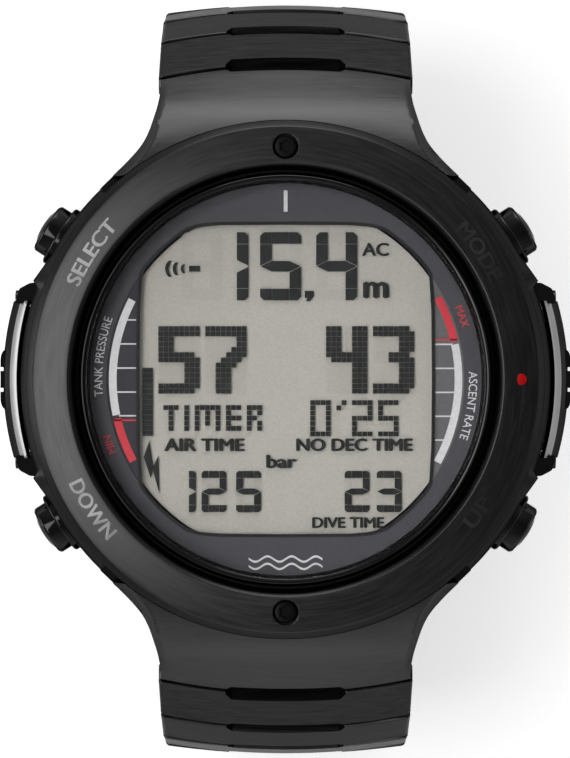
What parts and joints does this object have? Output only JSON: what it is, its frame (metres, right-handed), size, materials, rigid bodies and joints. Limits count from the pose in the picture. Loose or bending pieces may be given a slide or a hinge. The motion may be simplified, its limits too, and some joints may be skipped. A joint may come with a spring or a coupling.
{
  "type": "wrist dive computer",
  "caption": "Round wrist-worn dive computer in black steel with push buttons, a digital display and a solid link bracelet with a fold-over clasp.",
  "frame": {"origin": "centre of the flat outer face of the closed clasp, which the watch stands on, under the middle of the dial", "axes": "+Z out of the dial, +Y towards 12 o'clock, +X towards 3 o'clock"},
  "size_m": [0.0544, 0.0772, 0.0566],
  "materials": {
    "black_brushed_steel": "black coated steel, brushed",
    "black_polished_steel": "black coated steel, polished",
    "bright_steel": "bare stainless steel, satin",
    "black_seal": "moulded O-ring rubber",
    "clear_crystal": "polished flat crystal",
    "dial_grey": "dark grey printed dial",
    "display_grey": "pale grey reflective liquid crystal display",
    "module_plastic": "moulded movement holder",
    "board_green": "glass-fibre circuit board with solder mask",
    "brass": "stamped contact metal"
  },
  "bodies": {
    "head": {"back_gasket": "black_seal", "backlight_plate": "display_grey", "battery": "bright_steel", "battery_contact": "brass", "bezel_ring": "black_brushed_steel", "bezel_screw_12": "black_polished_steel", "bezel_screw_6": "black_polished_steel", "buzzer": "brass", "case_back": "black_brushed_steel", "case_back_screw_1": "bright_steel", "case_back_screw_2": "bright_steel", "case_back_screw_3": "bright_steel", "case_back_screw_4": "bright_steel", "crystal": "clear_crystal", "crystal_gasket": "black_seal", "crystal_ring": "black_polished_steel", "dial_mask": "dial_grey", "end_link_12": "black_brushed_steel", "end_link_6": "black_brushed_steel", "lcd_panel": "display_grey", "lug_pin_12": "bright_steel", "lug_pin_6": "bright_steel", "main_board": "board_green", "mid_case": "black_brushed_steel", "module_frame": "module_plastic", "pressure_sensor": "bright_steel", "pusher_collar_down": "black_polished_steel", "pusher_collar_mode": "black_polished_steel", "pusher_collar_select": "black_polished_steel", "pusher_collar_up": "black_polished_steel", "pusher_spring_down": "bright_steel", "pusher_spring_mode": "bright_steel", "pusher_spring_select": "bright_steel", "pusher_spring_up": "bright_steel", "side_plate_left": "black_polished_steel", "side_plate_right": "black_polished_steel", "side_plate_screw_left_lower": "black_polished_steel", "side_plate_screw_left_upper": "black_polished_steel", "side_plate_screw_right_lower": "black_polished_steel", "side_plate_screw_right_upper": "black_polished_steel"},
    "link_12_1": {"link_12_1": "black_brushed_steel"},
    "link_12_2": {"link_12_2": "black_brushed_steel"},
    "link_12_3": {"link_12_3": "black_brushed_steel"},
    "link_12_4": {"link_12_4": "black_brushed_steel"},
    "link_12_5": {"link_12_5": "black_brushed_steel"},
    "link_12_6": {"link_12_6": "black_brushed_steel"},
    "link_6_1": {"link_6_1": "black_brushed_steel"},
    "link_6_2": {"link_6_2": "black_brushed_steel"},
    "link_6_3": {"link_6_3": "black_brushed_steel"},
    "link_6_4": {"link_6_4": "black_brushed_steel"},
    "link_6_5": {"link_6_5": "black_brushed_steel"},
    "link_6_6": {"link_6_6": "black_brushed_steel"},
    "clasp_cover": {"clasp_cover": "black_brushed_steel"},
    "clasp_blade_a": {"clasp_blade_a": "black_polished_steel"},
    "clasp_blade_b": {"clasp_blade_b": "black_polished_steel"},
    "safety_lock": {"safety_lock": "black_brushed_steel"},
    "pusher_mode": {"pusher_mode": "black_polished_steel"},
    "pusher_select": {"pusher_select": "black_polished_steel"},
    "pusher_down": {"pusher_down": "black_polished_steel"},
    "pusher_up": {"pusher_up": "black_polished_steel"}
  },
  "joints": [
    {"name": "link_12_1_hinge", "type": "hinge", "parent": "head", "child": "link_12_1", "pos_m": [0, 0.02874, 0.04623], "axis": [1, 0, 0], "range_deg": [0, 12]},
    {"name": "link_12_2_hinge", "type": "hinge", "parent": "link_12_1", "child": "link_12_2", "pos_m": [0, 0.0325, 0.03917], "axis": [1, 0, 0], "range_deg": [0, 10]},
    {"name": "link_12_3_hinge", "type": "hinge", "parent": "link_12_2", "child": "link_12_3", "pos_m": [0, 0.03497, 0.03156], "axis": [1, 0, 0], "range_deg": [0, 9]},
    {"name": "link_12_4_hinge", "type": "hinge", "parent": "link_12_3", "child": "link_12_4", "pos_m": [0, 0.03622, 0.02366], "axis": [1, 0, 0], "range_deg": [0, 12]},
    {"name": "link_12_5_hinge", "type": "hinge", "parent": "link_12_4", "child": "link_12_5", "pos_m": [0, 0.03581, 0.01567], "axis": [1, 0, 0], "range_deg": [0, 19]},
    {"name": "link_12_6_hinge", "type": "hinge", "parent": "link_12_5", "child": "link_12_6", "pos_m": [0, 0.03281, 0.00825], "axis": [1, 0, 0], "range_deg": [0, 21]},
    {"name": "link_6_1_hinge", "type": "hinge", "parent": "head", "child": "link_6_1", "pos_m": [0, -0.02874, 0.04623], "axis": [-1, 0, 0], "range_deg": [0, 12]},
    {"name": "link_6_2_hinge", "type": "hinge", "parent": "link_6_1", "child": "link_6_2", "pos_m": [0, -0.0325, 0.03917], "axis": [-1, 0, 0], "range_deg": [0, 10]},
    {"name": "link_6_3_hinge", "type": "hinge", "parent": "link_6_2", "child": "link_6_3", "pos_m": [0, -0.03497, 0.03156], "axis": [-1, 0, 0], "range_deg": [0, 9]},
    {"name": "link_6_4_hinge", "type": "hinge", "parent": "link_6_3", "child": "link_6_4", "pos_m": [0, -0.03622, 0.02366], "axis": [-1, 0, 0], "range_deg": [0, 12]},
    {"name": "link_6_5_hinge", "type": "hinge", "parent": "link_6_4", "child": "link_6_5", "pos_m": [0, -0.03581, 0.01567], "axis": [-1, 0, 0], "range_deg": [0, 19]},
    {"name": "link_6_6_hinge", "type": "hinge", "parent": "link_6_5", "child": "link_6_6", "pos_m": [0, -0.03281, 0.00825], "axis": [-1, 0, 0], "range_deg": [0, 21]},
    {"name": "clasp_cover_hinge", "type": "hinge", "parent": "link_12_6", "child": "clasp_cover", "pos_m": [0, 0.02735, 0.0024], "axis": [1, 0, 0], "range_deg": [0, 47]},
    {"name": "clasp_blade_a_hinge", "type": "hinge", "parent": "clasp_cover", "child": "clasp_blade_a", "pos_m": [0, -0.02125, 0.0027], "axis": [1, 0, 0], "range_deg": [0, 35]},
    {"name": "clasp_blade_b_hinge", "type": "hinge", "parent": "clasp_blade_a", "child": "clasp_blade_b", "pos_m": [0, 0.02135, 0.00335], "axis": [-1, 0, 0], "range_deg": [0, 45]},
    {"name": "safety_lock_hinge", "type": "hinge", "parent": "clasp_cover", "child": "safety_lock", "pos_m": [0, -0.02285, 0.0022], "axis": [-1, 0, 0], "range_deg": [0, 90]},
    {"name": "pusher_mode_slide", "type": "slide", "parent": "head", "child": "pusher_mode", "axis": [-0.8434, -0.5373, 0], "range_m": [0, 0.0009], "stiffness_N_per_m": 1500, "springref_m": -0.0007, "deforming": ["pusher_spring_mode"]},
    {"name": "pusher_select_slide", "type": "slide", "parent": "head", "child": "pusher_select", "axis": [0.8434, -0.5373, 0], "range_m": [0, 0.0009], "stiffness_N_per_m": 1500, "springref_m": -0.0007, "deforming": ["pusher_spring_select"]},
    {"name": "pusher_down_slide", "type": "slide", "parent": "head", "child": "pusher_down", "axis": [0.8434, 0.5373, 0], "range_m": [0, 0.0009], "stiffness_N_per_m": 1500, "springref_m": -0.0007, "deforming": ["pusher_spring_down"]},
    {"name": "pusher_up_slide", "type": "slide", "parent": "head", "child": "pusher_up", "axis": [-0.8434, 0.5373, 0], "range_m": [0, 0.0009], "stiffness_N_per_m": 1500, "springref_m": -0.0007, "deforming": ["pusher_spring_up"]}
  ]
}
